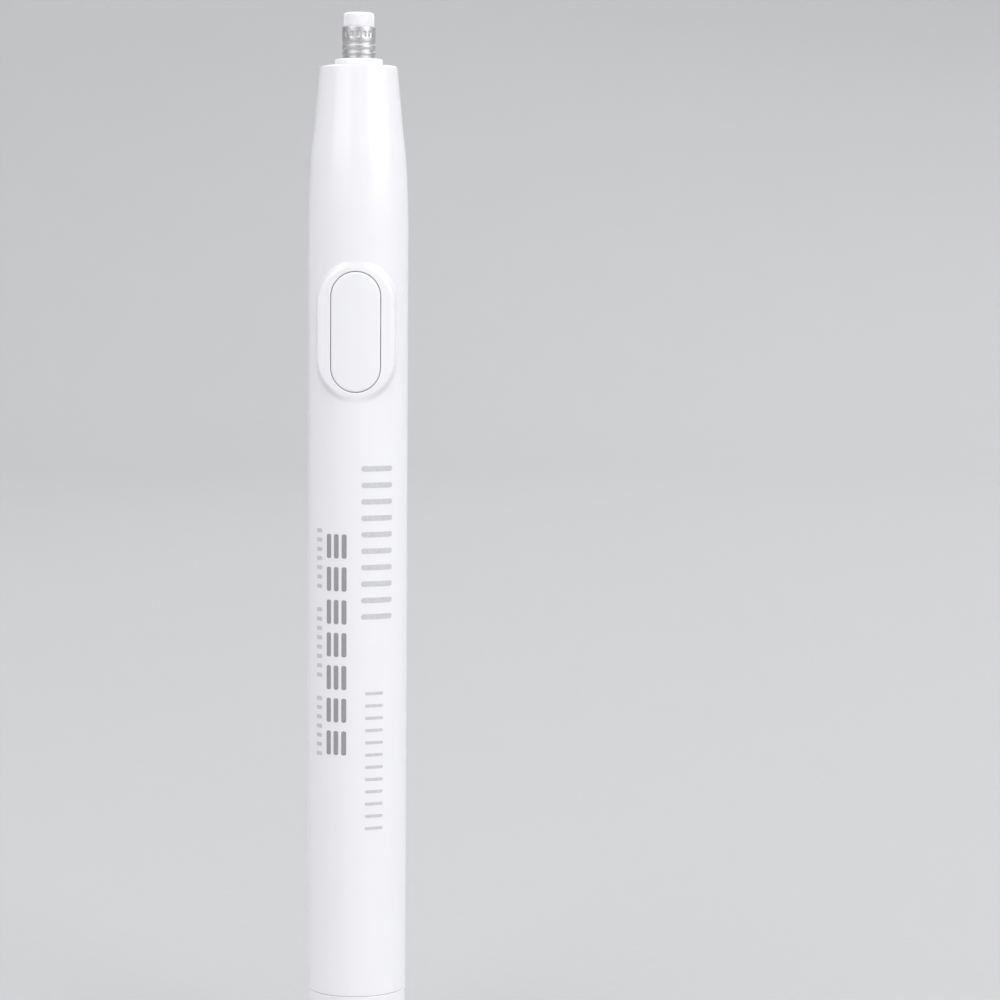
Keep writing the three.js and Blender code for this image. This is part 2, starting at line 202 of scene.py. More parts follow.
def lathe(profile, columns=96, shift=None):
    """Vertices and faces of a closed body of revolution about Z, from its (r, z) profile.

    The profile runs from axis to axis, or closes on itself. shift(r, z, angle) may move a point's
    radius."""
    closed = not (on_axis(profile[0][0]) and on_axis(profile[-1][0]))
    vertices = []
    rows = []
    for r, z in profile:
        if on_axis(r):
            rows.append([len(vertices)] * columns)
            vertices.append((0, 0, z))
            continue
        row = []
        for j in range(columns):
            angle = 2 * math.pi * j / columns
            radius = shift(r, z, angle) if shift else r
            row.append(len(vertices))
            vertices.append(around(radius, angle, z))
        rows.append(row)
    pairs = list(zip(rows, rows[1:] + rows[:1])) if closed else list(zip(rows, rows[1:]))
    faces = []
    for lower, upper in pairs:
        for j in range(columns):
            k = (j + 1) % columns
            corners = [lower[j], lower[k], upper[k], upper[j]]
            face = list(dict.fromkeys(corners))
            if len(face) > 2:
                faces.append(face)
    return vertices, faces


def turned(name, profile, columns=96, shift=None, sharp_deg=35):
    """A mesh object turned about Z from its profile."""
    return mesh_object(name, *lathe(profile, columns, shift), sharp_deg)


def tube(points, radius, sides=16):
    """Vertices and faces of a round wire along a line of points, with closed ends."""
    line = [Vector(p) for p in points]
    vertices = []
    side = None
    for i, p in enumerate(line):
        along = (line[min(i + 1, len(line) - 1)] - line[max(i - 1, 0)]).normalized()
        if side is None:
            side = along.orthogonal().normalized()
        side = (side - along * side.dot(along)).normalized()
        up = along.cross(side)
        for k in range(sides):
            a = 2 * math.pi * k / sides
            vertices.append(p + (side * math.cos(a) + up * math.sin(a)) * radius)
    faces = []
    for i in range(len(line) - 1):
        for k in range(sides):
            m = (k + 1) % sides
            low, high = i * sides, (i + 1) * sides
            faces.append([low + k, low + m, high + m, high + k])
    faces.append(list(range(sides))[::-1])
    last = (len(line) - 1) * sides
    faces.append(list(range(last, last + sides)))
    return vertices, faces


def merged(*parts):
    """Several (vertices, faces) shells as one."""
    vertices, faces = [], []
    for more_vertices, more_faces in parts:
        base = len(vertices)
        vertices += [tuple(v) for v in more_vertices]
        faces += [[base + i for i in face] for face in more_faces]
    return vertices, faces


def prism(outline, place, low, high):
    """Vertices and faces of a flat outline carried from low to high; place(u, v, h) gives the point."""
    count = len(outline)
    vertices = [place(u, v, h) for h in (low, high) for u, v in outline]
    faces = [[k, (k + 1) % count, count + (k + 1) % count, count + k] for k in range(count)]
    faces.append(list(range(count))[::-1])
    faces.append(list(range(count, 2 * count)))
    return vertices, faces


# ------------------------------------------------------------------ material helpers

class Shader:
    """A Principled material whose nodes are added one at a time."""

    def __init__(self, name):
        self.material = bpy.data.materials.new(name)
        self.material.use_nodes = True
        self.tree = self.material.node_tree
        self.surface = self.tree.nodes["Principled BSDF"]
        self.coords = self.add("ShaderNodeTexCoord").outputs["Object"]

    def add(self, kind, **settings):
        node = self.tree.nodes.new(kind)
        for key, value in settings.items():
            setattr(node, key, value)
        return node

    def link(self, output, socket):
        self.tree.links.new(output, socket)

    def set(self, **values):
        for key, value in values.items():
            self.surface.inputs[key.replace("_", " ")].default_value = value
        return self

    def noise(self, size_mm, detail=3.0, stretch=(1, 1, 1)):
        """Noise with features of about size_mm, longer where stretch is below 1."""
        mapping = self.add("ShaderNodeMapping")
        mapping.inputs["Scale"].default_value = stretch
        self.link(self.coords, mapping.inputs["Vector"])
        texture = self.add("ShaderNodeTexNoise")
        texture.inputs["Scale"].default_value = 1 / (size_mm * MM)
        texture.inputs["Detail"].default_value = detail
        self.link(mapping.outputs["Vector"], texture.inputs["Vector"])
        return texture.outputs["Fac"]

    def span(self, value, low, high, start=0.3, end=0.7):
        """value between start and end, carried to low and high."""
        node = self.add("ShaderNodeMapRange")
        node.inputs["From Min"].default_value = start
        node.inputs["From Max"].default_value = end
        node.inputs["To Min"].default_value = low
        node.inputs["To Max"].default_value = high
        self.link(value, node.inputs["Value"])
        return node.outputs["Result"]

    def blend(self, factor, first, second):
        """A colour between two colours, or colour outputs."""
        node = self.add("ShaderNodeMix", data_type="RGBA")
        self.link(factor, node.inputs["Factor"])
        for socket, colour in (("A", first), ("B", second)):
            target = [s for s in node.inputs if s.name == socket and s.type == "RGBA"][0]
            if isinstance(colour, tuple):
                target.default_value = (*colour, 1)
            else:
                self.link(colour, target)
        return [s for s in node.outputs if s.type == "RGBA"][0]

    def bump(self, height, depth_mm, strength=1.0, after=None):
        node = self.add("ShaderNodeBump")
        node.inputs["Distance"].default_value = depth_mm * MM
        node.inputs["Strength"].default_value = strength
        self.link(height, node.inputs["Height"])
        if after:
            self.link(after, node.inputs["Normal"])
        return node.outputs["Normal"]

    def edges(self, start=0.505, end=0.53):
        """1 on outer edges and 0 elsewhere."""
        pointiness = self.add("ShaderNodeNewGeometry").outputs["Pointiness"]
        return self.span(pointiness, 0, 1, start, end)

    def colour(self, output):
        self.link(output, self.surface.inputs["Base Color"])

    def roughness(self, output):
        self.link(output, self.surface.inputs["Roughness"])

    def normal(self, output):
        self.link(output, self.surface.inputs["Normal"])


def shade(colour, factor):
    """The colour made darker or lighter."""
    return tuple(c * factor for c in colour)


def moulded_plastic(name, colour, roughness=0.25, grain_mm=0.35, grain_depth=0.0025):
    """Moulded plastic: faint flow marks, handling haze, a fine skin texture and paler rubbed edges."""
    haze = 0.06
    s = Shader(name)
    s.set(IOR=1.53, Subsurface_Weight=0.06, Subsurface_Scale=0.0012)
    s.surface.inputs["Subsurface Radius"].default_value = (1.0, 0.9, 0.85)
    flow = s.span(s.noise(9, 4, (1, 1, 0.25)), 0, 1)
    body = s.blend(flow, shade(colour, 0.982), colour)
    rubbed = s.blend(s.edges(), body, shade(colour, 1.02))
    s.colour(rubbed)
    s.roughness(s.span(s.noise(4, 5), roughness - haze / 2, roughness + haze))
    skin = s.bump(s.noise(grain_mm, 2), grain_depth, 0.5)
    s.normal(s.bump(s.noise(6, 2), 0.012, 0.25, skin))
    return s.material


def polished_metal(name, colour, roughness, line_depth=0.002):
    """Bright metal with fine lines round the axis, cloudy tarnish and brighter edges."""
    line_mm = 0.05
    s = Shader(name)
    s.set(Metallic=1.0, Anisotropic=0.35)
    cloud = s.span(s.noise(1.6, 4), 0, 1, 0.35, 0.75)
    base = s.blend(cloud, colour, shade(colour, 0.86))
    s.colour(s.blend(s.edges(0.51, 0.56), base, shade(colour, 1.08)))
    s.roughness(s.span(s.noise(0.9, 4), roughness * 0.75, roughness * 1.35))
    lines = s.noise(line_mm, 2, (0.02, 0.02, 1))
    s.normal(s.bump(lines, line_depth, 0.6))
    return s.material


def sheet_metal(name, colour, roughness):
    """Pressed sheet or wire, with faint rolling lines along it."""
    s = Shader(name)
    s.set(Metallic=1.0)
    cloud = s.span(s.noise(2.2, 5), 0, 1)
    s.colour(s.blend(cloud, colour, shade(colour, 0.84)))
    s.roughness(s.span(s.noise(0.6, 3, (1, 1, 0.1)), roughness * 0.8, roughness * 1.3))
    s.normal(s.bump(s.noise(0.12, 2, (1, 1, 0.05)), 0.003, 0.5))
    return s.material


def rough_solid(name, colour, roughness, grain_mm, grain_depth, metallic=0.0, spots=0.8):
    """Sintered, moulded or cast material with an open grain."""
    s = Shader(name)
    s.set(Metallic=metallic)
    grain = s.noise(grain_mm, 5)
    s.colour(s.blend(s.span(grain, 0, 1, 0.35, 0.65), shade(colour, spots), colour))
    s.roughness(s.span(s.noise(grain_mm * 3, 3), roughness * 0.85, min(1.0, roughness * 1.1)))
    s.normal(s.bump(grain, grain_depth, 0.6))
    return s.material


def eraser_rubber():
    """White vinyl: chalky skin, a few tiny pores and faint grey handling marks."""
    s = Shader("eraser_rubber")
    s.set(IOR=1.45, Subsurface_Weight=0.18, Subsurface_Scale=0.0015)
    s.surface.inputs["Subsurface Radius"].default_value = (1.0, 0.95, 1.0)
    s.surface.inputs["Sheen Weight"].default_value = 0.15
    white = (0.82, 0.812, 0.84)
    chalk = s.blend(s.span(s.noise(1.3, 5), 0, 1), shade(white, 0.955), white)
    smudge = s.span(s.noise(2.6, 3, (1, 1, 0.4)), 0, 0.18, 0.56, 0.75)
    s.colour(s.blend(smudge, chalk, (0.70, 0.69, 0.71)))
    s.roughness(s.span(s.noise(0.5, 4), 0.62, 0.85))
    grain = s.bump(s.noise(0.16, 4), 0.02, 0.45)
    s.normal(s.bump(s.noise(1.1, 3), 0.05, 0.3, grain))
    return s.material


def copper_winding():
    """Enamelled copper wire wound in neat turns, with painted shade darkening the grooves between the
    turns.
    """
    s = Shader("copper_winding")
    s.set(Metallic=1.0, Coat_Weight=0.5, Coat_Roughness=0.15)
    wave = s.add("ShaderNodeTexWave", wave_type="BANDS", bands_direction="DIAGONAL")
    wave.inputs["Scale"].default_value = 1 / (0.9 * MM)
    s.link(s.coords, wave.inputs["Vector"])
    # painted shade: the wave bands that raise the turns also darken the colour in the grooves between
    # them
    s.colour(s.blend(wave.outputs["Fac"], (0.32, 0.11, 0.045), (0.78, 0.36, 0.16)))
    s.roughness(s.span(s.noise(0.5, 3), 0.22, 0.38))
    s.normal(s.bump(wave.outputs["Fac"], 0.05, 0.8))
    return s.material


def cell_wrap():
    """Slate-blue film wrap, glossy over the steel can beneath it."""
    s = Shader("cell_wrap")
    s.set(Coat_Weight=0.6, Coat_Roughness=0.12)
    s.surface.inputs["Metallic"].default_value = 0.35
    film = s.blend(s.span(s.noise(3, 4), 0, 1), (0.055, 0.085, 0.13), (0.07, 0.105, 0.155))
    s.colour(film)
    s.roughness(s.span(s.noise(1.5, 4), 0.22, 0.36))
    s.normal(s.bump(s.noise(0.5, 3), 0.006, 0.5))
    return s.material


def ink(name, colour):
    """Thin pad-printed ink, slightly uneven where it thins."""
    s = Shader(name)
    s.colour(s.blend(s.span(s.noise(0.45, 4), 0, 1), shade(colour, 0.93), shade(colour, 1.05)))
    s.roughness(s.span(s.noise(0.8, 3), 0.36, 0.5))
    s.normal(s.bump(s.noise(0.12, 2), 0.003, 0.5))
    return s.material


def stage_surface():
    """Pale seamless paper."""
    s = Shader("stage_paper")
    pale = (0.415, 0.418, 0.423)
    s.colour(s.blend(s.noise(60, 3), shade(pale, 0.985), pale))
    s.roughness(s.span(s.noise(2, 3), 0.8, 0.92))
    s.normal(s.bump(s.noise(0.8, 3), 0.02, 0.3))
    return s.material


WHITE = (0.81, 0.808, 0.825)

MATERIALS = {
    "barrel_white": moulded_plastic("barrel_white", WHITE, 0.2),
    "button_white": moulded_plastic("button_white", (0.805, 0.805, 0.818), 0.32, 0.22, 0.004),
    "acetal_white": moulded_plastic("acetal_white", (0.82, 0.82, 0.83), 0.34, 0.15, 0.004),
    "frame_plastic": moulded_plastic("frame_plastic", (0.55, 0.56, 0.58), 0.45, 0.3, 0.006),
    "nylon": rough_solid("nylon", (0.022, 0.023, 0.025), 0.5, 0.25, 0.006),
    "nickel": polished_metal("nickel", (0.80, 0.795, 0.79), 0.26),
    "pressed_nickel": polished_metal("pressed_nickel", (0.6, 0.6, 0.605), 0.36, line_depth=0.0005),
    "steel": sheet_metal("steel", (0.52, 0.53, 0.54), 0.3),
    "spring_steel": sheet_metal("spring_steel", (0.50, 0.50, 0.52), 0.24),
    "brass": sheet_metal("brass", (0.76, 0.55, 0.24), 0.28),
    "bronze": rough_solid("bronze", (0.45, 0.25, 0.11), 0.45, 0.12, 0.01, 1.0, 0.7),
    "copper": copper_winding(),
    "ferrite": rough_solid("ferrite", (0.035, 0.035, 0.038), 0.7, 0.2, 0.01),
    "carbon": rough_solid("carbon", (0.02, 0.02, 0.022), 0.6, 0.1, 0.008),
    "cell_wrap": cell_wrap(),
    "red_wire": moulded_plastic("red_wire", (0.42, 0.022, 0.018), 0.38, 0.2, 0.003),
    "black_wire": moulded_plastic("black_wire", (0.012, 0.012, 0.013), 0.38, 0.2, 0.003),
    "eraser_rubber": eraser_rubber(),
}
INK_DARK = ink("ink_dark", (0.30, 0.30, 0.31))
INK_LIGHT = ink("ink_light", (0.56, 0.56, 0.57))


def piece(obj, body, slot, *nodes, material=None):
    """Gives a piece its body and its material, the slot's unless one is given, and hides the CAD nodes
    that it stands for.
    """
    obj.data.materials.append(material or MATERIALS[slot])
    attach(obj, body)
    if nodes:
        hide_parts(*nodes)
    return obj


# ------------------------------------------------------------------ barrel

TAPER_END = 96.0  # above it the barrel is straight
SEAT_TOP = BUSH_HIGH.z + 0.3
COLUMNS = 120
COLUMN_ANGLE = 2 * math.pi / COLUMNS
WINDOW_COLUMNS = 22  # each side of the button's plane
WINDOW_HALF_H = 13.2
WINDOW_STEP = 0.55
WINDOW_ROWS = round(2 * WINDOW_HALF_H / WINDOW_STEP)
WINDOW_LOW, WINDOW_HIGH = BUTTON_Z - WINDOW_HALF_H, BUTTON_Z + WINDOW_HALF_H


def window_side(r):
    """(r, z) of the window's rows on a wall of that radius."""
    return [(r, z) for z in spread(WINDOW_LOW, WINDOW_HIGH, WINDOW_STEP)]


def outer_profile():
    """(r, z) of the barrel's outside from the seam to the nose opening; the window's rows are in it."""
    seam = rounded([(SEAM_IN, SEAM_Z), (SEAM_R, SEAM_Z, 0.1), (BARREL_R, TAPER_END)])[:-1]
    lower = [(SEAM_R + (BARREL_R - SEAM_R) * k / 8, SEAM_Z + (TAPER_END - SEAM_Z) * k / 8)
             for k in range(1, 9)]
    nose = smooth_curve([
        (BARREL_R, 133.5), (7.81, 136.8), (7.7, 140.1), (7.49, 144), (7.26, 146.8), (6.98, 149.3),
        (6.74, 151.8), (6.5, 154.3), (6.26, 156.7), (6.12, 158.2),
    ], 6)
    rim = rounded([nose[-1], (RIM_R, RIM_Z, 0.34), (MOUTH_R, RIM_Z)], steps=8)[1:-1]
    opening_r = COLLAR_R + 0.2
    mouth = rounded([(MOUTH_R, RIM_Z), (opening_r, RIM_Z, 0.18), (opening_r, SEAT_TOP)])
    return seam + lower + window_side(BARREL_R) + nose + rim + mouth


def inner_profile():
    """(r, z) of the bore from the nose opening back to the seam, with the same window rows."""
    cell_row = 40  # a row part of the way down the long plain bore
    seat = [(SEAT_R, SEAT_TOP), (SEAT_R, BUSH_LOW.z - 0.4), (BORE_R, BORE_TOP)]
    socket = rounded([
        (BORE_R, cell_row), (BORE_R, SOCKET_TOP + 0.3), (SOCKET_R, SOCKET_TOP), (SOCKET_R, SEAM_Z, 0.2),
        (SEAM_IN, SEAM_Z),
    ])[:-1]
    return seat + window_side(BORE_R)[::-1] + socket


def window_edge():
    """(column, row) of each point round the window's edge; columns count from the button's plane."""
    n, rows = WINDOW_COLUMNS, WINDOW_ROWS
    edge = [(c, 0) for c in range(-n, n)]
    edge += [(n, r) for r in range(rows)]
    edge += [(c, rows) for c in range(n, -n, -1)]
    edge += [(-n, r) for r in range(rows, 0, -1)]
    return edge


def stadium_point(x, z, half_w, half_h, straight):
    """Carries a point round the pad to the stadium of that size.

    Returns the point of the stadium's spine that it turns round, and the direction out from there."""
    own = half_h - half_w
    if abs(z) <= straight:
        return Vector((0, z * own / straight)), Vector((math.copysign(1, x), 0))
    spine = Vector((0, math.copysign(straight, z)))
    direction = (Vector((x, z)) - spine).normalized()
    return Vector((0, math.copysign(own, z))), direction


def crown(x, face):
    """How far out a face stands at x, crowned about Z to CROWN_R."""
    return face - CROWN_R + math.sqrt(CROWN_R ** 2 - x ** 2)


# one line across the pad: flat points (x, height) where it leaves the window's edge, meets the pad's
# foot, its face and its opening, and the direction out of the opening
PadLine = namedtuple("PadLine", "edge foot top hole direction")


def pad_rings(edge_points):
    """Rings of (x, y, z) from the barrel's surface over the pad and down its opening to the bore."""
    straight = PAD_FOOT[1] - PAD_FOOT[0]
    lines = []
    for x, z in edge_points:
        flats = []
        for half_w, half_h in (PAD_FOOT, PAD_TOP, HOLE):
            spine, direction = stadium_point(x, z, half_w, half_h, straight)
            flats.append(spine + direction * half_w)
        lines.append(PadLine(Vector((x, z)), *flats, direction))

    def barrel_out(flat):
        return math.sqrt(BARREL_R ** 2 - flat.x ** 2)

    def face_out(flat):
        fall = max(0.0, abs(flat.y) - PAD_FALL_FROM) / (PAD_TOP[1] - PAD_FALL_FROM)
        return crown(flat.x, PAD_FACE) - PAD_FALL * fall ** 2

    def on_barrel(line, t):
        flat = line.edge.lerp(line.foot, t)
        return flat, barrel_out(flat)

    def flank(line, t):
        flat = line.foot.lerp(line.top, t)
        rise = t ** 3 * (10 - 15 * t + 6 * t ** 2)
        return flat, barrel_out(flat) * (1 - rise) + face_out(flat) * rise

    def face(line, t):
        flat = line.top.lerp(line.hole + line.direction * LIP_R, t)
        return flat, face_out(flat)

    def lip(line, t):
        angle = math.pi / 2 * t
        flat = line.hole + line.direction * (LIP_R - LIP_R * math.sin(angle))
        return flat, face_out(line.hole) - LIP_R + LIP_R * math.cos(angle)

    def wall(line, t):
        start = face_out(line.hole) - LIP_R
        end = math.sqrt(BORE_R ** 2 - line.hole.x ** 2)
        return line.hole, start + (end - start) * t

    rings = []
    for section, steps in ((on_barrel, 4), (flank, 14), (face, 4), (lip, 4), (wall, 3)):
        for k in range(1, steps + 1):
            spots = [section(line, k / steps) for line in lines]
            rings.append([(flat.x, -out, flat.y + BUTTON_Z) for flat, out in spots])
    return rings, [line.hole for line in lines]


def bore_rings(edge_points, hole_points):
    """Rings on the bore from the opening out to the window's edge."""
    steps = 4
    rings = []
    for k in range(1, steps):
        points = []
        for edge, hole in zip(edge_points, hole_points):
            flat = hole.lerp(Vector(edge), k / steps)
            points.append((flat.x, -math.sqrt(BORE_R ** 2 - flat.x ** 2), flat.y + BUTTON_Z))
        rings.append(points)
    return rings


def barrel_shell():
    """The whole moulding as one closed mesh: turned outside and bore, pad, and the button's opening."""
    outside, bore = outer_profile(), inner_profile()
    profile = outside + bore
    first_out = next(i for i, (r, z) in enumerate(outside) if abs(z - WINDOW_LOW) < 1e-6)
    last_in = len(outside) + next(i for i, (r, z) in enumerate(bore) if abs(z - WINDOW_LOW) < 1e-6)
    vertices = [around(r, COLUMN_ANGLE * j, z) for r, z in profile for j in range(COLUMNS)]
    grid = [list(range(COLUMNS * i, COLUMNS * (i + 1))) for i in range(len(profile))]
    faces = []
    for i in range(len(grid)):
        upper = grid[(i + 1) % len(grid)]
        in_window_rows = first_out <= i < first_out + WINDOW_ROWS or last_in - WINDOW_ROWS <= i < last_in
        for j in range(COLUMNS):
            column = j if j < COLUMNS // 2 else j - COLUMNS
            if in_window_rows and -WINDOW_COLUMNS <= column < WINDOW_COLUMNS:
                continue
            k = (j + 1) % COLUMNS
            faces.append([grid[i][j], grid[i][k], upper[k], upper[j]])

    edge = window_edge()

    def flat_points(radius):
        return [(radius * math.sin(c * COLUMN_ANGLE), r * WINDOW_STEP - WINDOW_HALF_H) for c, r in edge]

    rings, holes = pad_rings(flat_points(BARREL_R))
    rings += bore_rings(flat_points(BORE_R), holes)
    loops = [[grid[first_out + r][c % COLUMNS] for c, r in edge]]
    for points in rings:
        loops.append(list(range(len(vertices), len(vertices) + len(points))))
        vertices += points
    loops.append([grid[last_in - r][c % COLUMNS] for c, r in edge])
    for inner, outer in zip(loops, loops[1:]):
        for i in range(len(edge)):
            k = (i + 1) % len(edge)
            faces.append([inner[i], inner[k], outer[k], outer[i]])
    return mesh_object("barrel_moulding", vertices, faces, 40)


# ------------------------------------------------------------------ button

ARC_STEPS = 32  # points round each end of the button's outline
SIDE_STEPS = 12  # and along each straight side


def stadium_outline(half_w, half_h):
    """(x, z, direction) round a stadium, counter-clockwise."""
    straight = half_h - half_w
    points = []
    for turn, side in ((0, 1), (math.pi, -1)):
        for k in range(ARC_STEPS):
            a = turn + math.pi * k / ARC_STEPS
            points.append((half_w * math.cos(a), side * straight + half_w * math.sin(a), a))
        for k in range(SIDE_STEPS):
            z = side * (straight - 2 * straight * k / SIDE_STEPS)
            points.append((-side * half_w, z, math.pi if side > 0 else 0))
    return points


def push_button():
    """Crowned stadium cap, with the two hooked skirts and the plunger beneath."""
    outline = stadium_outline(BUTTON_HALF_W, BUTTON_HALF_H)
    radius, edge_steps = 0.3, 6
    under = 6.3  # how far out the cap's flat underside stands
    root = -under - 0.2  # where the skirts and the plunger start, inside the cap
    rings = [[(x, -under, z) for x, z, _ in outline]]
    for k in range(edge_steps + 1):
        a = math.pi / 2 * k / edge_steps
        inset = radius * (1 - math.cos(a))
        ring = []
        for x, z, direction in outline:
            px, pz = x - inset * math.cos(direction), z - inset * math.sin(direction)
            ring.append((px, -(crown(px, BUTTON_FACE) - radius + radius * math.sin(a)), pz))
        rings.append(ring)
    straight = BUTTON_HALF_H - BUTTON_HALF_W
    for share in (0.85, 0.65, 0.45, 0.25):
        ring = []
        for x, z, direction in outline:
            spine = max(-straight, min(straight, z))
            px = (x - radius * math.cos(direction)) * share
            pz = spine + (z - radius * math.sin(direction) - spine) * share
            ring.append((px, -crown(px, BUTTON_FACE), pz))
        rings.append(ring)
    vertices = [(x, y, z + BUTTON_Z) for ring in rings for x, y, z in ring]
    count = len(outline)
    faces = []
    for i in range(len(rings) - 1):
        for k in range(count):
            m = (k + 1) % count
            faces.append([i * count + k, i * count + m, (i + 1) * count + m, (i + 1) * count + k])
    faces.append(list(range(count)))
    faces += stadium_fill((len(rings) - 1) * count, count)
    skirts = []
    reach = straight - 1
    hook = [(2.9, root), (3.8, root), (3.8, -4), (4.7, -4), (4.7, -3.4), (3.6, -3.1), (2.9, -3.1)]
    for side in (-1, 1):
        section = [(side * x, y) for x, y in hook]
        skirts.append(prism(section, lambda u, v, h: (u, v, h), BUTTON_Z - reach, BUTTON_Z + reach))
    post_r, post_length, post_drop = 1.3, 1.75, 1.6
    post = lathe(rounded([(0, 0), (post_r, 0), (post_r, post_length, 0.3), (0, post_length)]), 32)
    plunger = ([(x, root + z, BUTTON_Z - post_drop - y) for x, y, z in post[0]], post[1])
    return mesh_object("button_cap", *merged((vertices, faces), *skirts, plunger))


def stadium_fill(base, count):
    """Faces across the innermost ring of a stadium, joining its two sides."""
    faces = []
    for k in range(count // 2):
        left = (ARC_STEPS // 2 + k) % count
        right = (ARC_STEPS // 2 - k) % count
        left_next = (left + 1) % count
        right_next = (right - 1) % count
        face = list(dict.fromkeys([base + right, base + left, base + left_next, base + right_next]))
        if len(face) > 2:
            faces.append(face)
    return faces


# ------------------------------------------------------------------ cap, chuck, ferrule, refill

def rear_cap():
    """Battery cap: round-edged cup, and the neck that pushes into the barrel with its gripping ridge."""
    neck_r, neck_bore, neck_top = 6.45, 5.65, CAP_HIGH.z
    cup_bore, floor = 6.25, 1.7
    ridge_r = neck_r + 0.1
    shoulder = SEAM_Z - 0.05
    groove_r, groove_low, groove_half_deg = 6.12, 11.2, 17  # for the contact strip, in the neck's bore
    profile = rounded([
        (0, 0), (6.0, 0), (SEAM_R - 0.08, 0, 1.9), (SEAM_R, shoulder, 0.1),
        (neck_r, shoulder, 0.1), (neck_r, 17.2), (ridge_r, 17.6, 0.2), (ridge_r, 18.4, 0.2),
        (neck_r, 18.8), (neck_r, neck_top, 0.4), (neck_bore, neck_top, 0.2),
        (neck_bore, 12.5), (cup_bore, 11.9), (cup_bore, floor, 0.5), (0, floor),
    ], steps=8)

    def groove(r, z, angle):
        at_back = abs(angle - math.pi) < math.radians(groove_half_deg)
        in_bore = z > groove_low and r < cup_bore - 0.05
        return groove_r if at_back and in_bore else r

    return turned("rear_cap_moulding", profile, 120, groove)


def chuck():
    """Plastic chuck: the hub on the motor's shaft, the wider collar in the nose, the ferrule's bore."""
    bore = FERRULE_R + 0.1
    low, high = COLLAR_LOW.z, COLLAR_HIGH.z
    bore_z = FERRULE_LOW.z - 0.15
    profile = rounded([
        (SPINDLE_R, low), (HUB_R, low, 0.4), (HUB_R, HUB_FLANGE_Z), (COLLAR_R, HUB_FLANGE_Z, 0.1),
        (COLLAR_R, high, 0.2), (bore, high, 0.12), (bore, bore_z), (SPINDLE_R, bore_z),
    ], closed=True)
    return turned("chuck_hub", profile, 96)


SLOTS = 16
SLOT_DEPTH = 0.09
SLOT_MIDDLE, SLOT_HALF = -1.27, 0.42  # height below the ferrule's lip, and half the slots' length


def metal_ferrule():
    """Thin sleeve: a plain lip, a band of pressed slots, a groove, a rolled bead and a grooved foot."""
    r, low, top = FERRULE_R, FERRULE_LOW.z, FERRULE_HIGH.z
    bore = REFILL_R + 0.06
    groove = r - 0.13
    foot = rounded([
        (bore, low), (r, low, 0.05), (r, top - 4.75, 0.1), (groove, top - 4.68, 0.05),
        (groove, top - 4.45, 0.05), (r, top - 4.38, 0.1), (r, top - 3.95, 0.1),
        (groove, top - 3.86, 0.05), (groove, top - 3.5, 0.05), (r, top - 3.4, 0.2),
        (r, top - 2.85, 0.2), (groove, top - 2.75, 0.05), (groove, top - 2.42, 0.05),
        (r, top - 2.33, 0.1), (r, top - 1.9),
    ], steps=4)
    band = [(r, z) for z in spread(top - 1.86, top - 0.7, 0.05)]
    lip = rounded([
        (r, top - 0.65), (r, top, 0.12), (bore, top, 0.06), (bore, low + 4),
    ], steps=5)

    def slots(radius, z, angle):
        if radius < r - 0.01 or not top - 1.9 < z < top - 0.66:
            return radius
        along = min(1.0, max(0.0, (SLOT_HALF + 0.1 - abs(z - top - SLOT_MIDDLE)) / 0.2))
        across = max(0.0, math.cos(SLOTS * angle) + 0.15) / 1.15
        return radius - SLOT_DEPTH * along * across ** 0.7

    return turned("ferrule_sleeve", foot + band + lip, 256, slots)


def refill():
    """The eraser stick, a little unevenly worn where it stands out of the ferrule."""
    low, high, r = REFILL_LOW.z, REFILL_HIGH.z, REFILL_R
    bare = FERRULE_HIGH.z - 1
    side = [(r, z) for z in spread(bare + 0.2, high - 0.62, 0.15)]
    profile = rounded([(0, low), (r, low, 0.1), (r, bare)]) + side
    profile += rounded([(r, high - 0.6), (r, high, 0.38), (1.6, high)], steps=10)[1:-1]
    profile += [(x, high) for x in (1.9, 1.5, 1.1, 0.7, 0.35)] + [(0, high)]

    def worn(radius, z, angle):
        if z < bare + 0.2:
            return radius
        spot = Vector(around(radius, angle, z))
        return radius - 0.05 * abs(noise.noise(spot * 0.9)) - 0.02 * abs(noise.noise(spot * 3.1))

    return turned("refill_stick", profile, 128, worn, 60)


def front_bush():
    """Sintered ring in the nose that the chuck turns in."""
    bore, r = 3.4, 4.7
    low, high = BUSH_LOW.z, BUSH_HIGH.z
    profile = rounded([
        (bore, low, 0.15), (r, low, 0.25), (r, high, 0.25), (bore, high, 0.15),
    ], closed=True)
    return turned("nose_bush", profile, 96)


# ------------------------------------------------------------------ cells and cap spring

def battery(name, node):
    """An AAA cell: rolled lower rim, film wrap, crimp groove, and the raised positive terminal."""
    low, high = node_box(node)
    z0, top = low.z, high.z - 0.8
    r = high.x
    profile = rounded([
        (0, z0 + 0.15), (3.3, z0 + 0.15, 0.1), (3.6, z0, 0.1), (r, z0, 0.45), (r, top - 2.3, 0.2),
        (r - 0.16, top - 1.95, 0.15), (r, top - 1.6, 0.2), (r, top, 0.5), (2.4, top, 0.1),
        (2.1, top - 0.12, 0.08), (1.9, top + 0.05, 0.05), (1.9, high.z, 0.25), (0, high.z),
    ], steps=5)
    return turned(name, profile, 96)


def bare_ends(obj, metal, ends):
    """Gives the faces beyond the film wrap, below and above the ends, the metal's material."""
    obj.data.materials.append(metal)
    low, high = ends
    film_edge_r, margin = 4.6, 0.4
    for face in obj.data.polygons:
        z = face.center.z / MM
        radius = math.hypot(face.center.x, face.center.y) / MM
        near_end = z < low + margin or z > high - margin
        if z < low or z > high or (radius < film_edge_r and near_end):
            face.material_index = len(obj.data.materials) - 1


